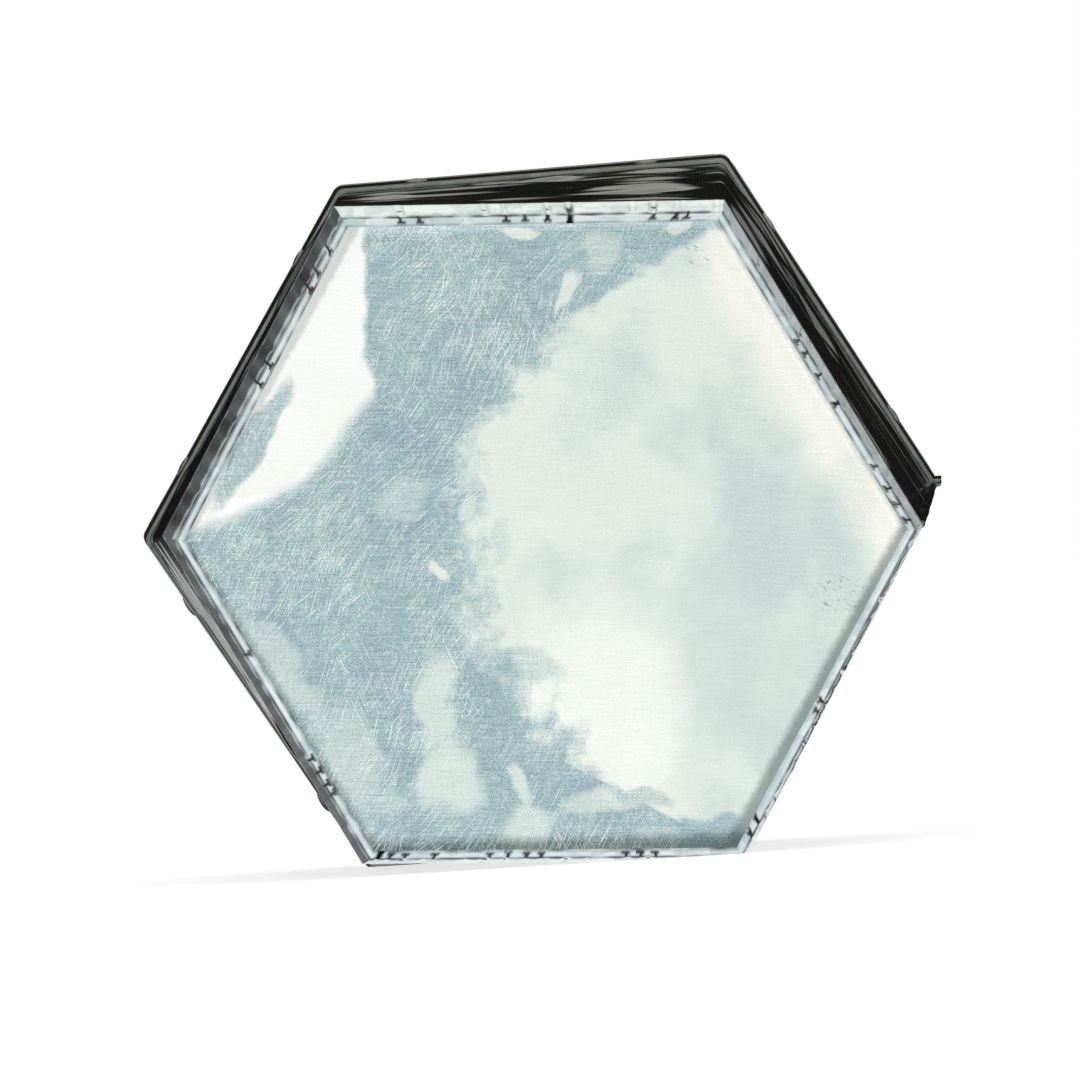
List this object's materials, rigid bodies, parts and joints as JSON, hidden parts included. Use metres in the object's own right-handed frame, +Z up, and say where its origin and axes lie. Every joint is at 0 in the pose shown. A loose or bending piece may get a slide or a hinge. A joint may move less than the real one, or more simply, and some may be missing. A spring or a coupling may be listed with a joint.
{
  "type": "rock tumbler barrel",
  "caption": "Six-sided tapered sheet-metal tumbler barrel with a crimped closed end, a rubber liner and a plug lid clamped by a wing nut; it lies on one flat.",
  "frame": {"origin": "centre of the footprint on the surface that the barrel lies on, with the wing nut counted", "axes": "+Z up; +X across the barrel from corner to corner; -Y towards the closed end and +Y towards the mouth and its lid; the barrel lies on one flat, so its own axis rises 2.75 degrees towards +Y"},
  "size_m": [0.2462, 0.2067, 0.2123],
  "materials": {
    "zinc_panel": "rolled zinc-coated sheet, scuffed and slightly tarnished",
    "binding_sheet": "crimped thin sheet, bright at the folds",
    "dark_sheet": "smooth dark-tarnished sheet with streaks along its length",
    "band_sheet": "strap steel, smoother than the wrap",
    "rivet_steel": "set rivets",
    "liner_rubber": "moulded matt black rubber",
    "gasket_rubber": "black rubber",
    "seal_rubber": "black rubber",
    "lid_steel": "pressed zinc-plated plate",
    "zinc_plated": "bright zinc plate",
    "cast_zinc": "cast and plated"
  },
  "bodies": {
    "shell": {"end_panel": "zinc_panel", "edge_binding_1": "binding_sheet", "edge_binding_2": "binding_sheet", "edge_binding_3": "binding_sheet", "edge_binding_4": "binding_sheet", "edge_binding_5": "binding_sheet", "edge_binding_6": "binding_sheet", "shell_wrap": "dark_sheet", "corner_seam": "dark_sheet", "rim_band": "band_sheet", "band_rivets": "rivet_steel", "liner": "liner_rubber", "mouth_gasket": "gasket_rubber"},
    "lid": {"outer_plate": "lid_steel", "lid_seal": "seal_rubber", "inner_plate": "lid_steel", "stud": "zinc_plated", "head_washer": "gasket_rubber", "jam_nut": "zinc_plated", "seal_washer": "gasket_rubber"},
    "nut_washer": {"nut_washer": "zinc_plated"},
    "wing_nut": {"wing_nut": "cast_zinc"}
  },
  "joints": [
    {"name": "lid_pull", "type": "slide", "parent": "shell", "child": "lid", "axis": [0, 0.9988, 0.048], "range_m": [0, 0.12]},
    {"name": "washer_travel", "type": "slide", "parent": "lid", "child": "nut_washer", "axis": [0, 0.9988, 0.048], "range_m": [0, 0.0121]},
    {"name": "nut_spin", "type": "hinge", "parent": "nut_washer", "child": "wing_nut", "pos_m": [0, -0.09784, 0.09809], "axis": [0, 0.9988, 0.048], "range_deg": [0, 2880]}
  ],
  "couplings": [
    {"joint": "washer_travel", "follows": "nut_spin", "m_per_rad": 0.00023873}
  ]
}
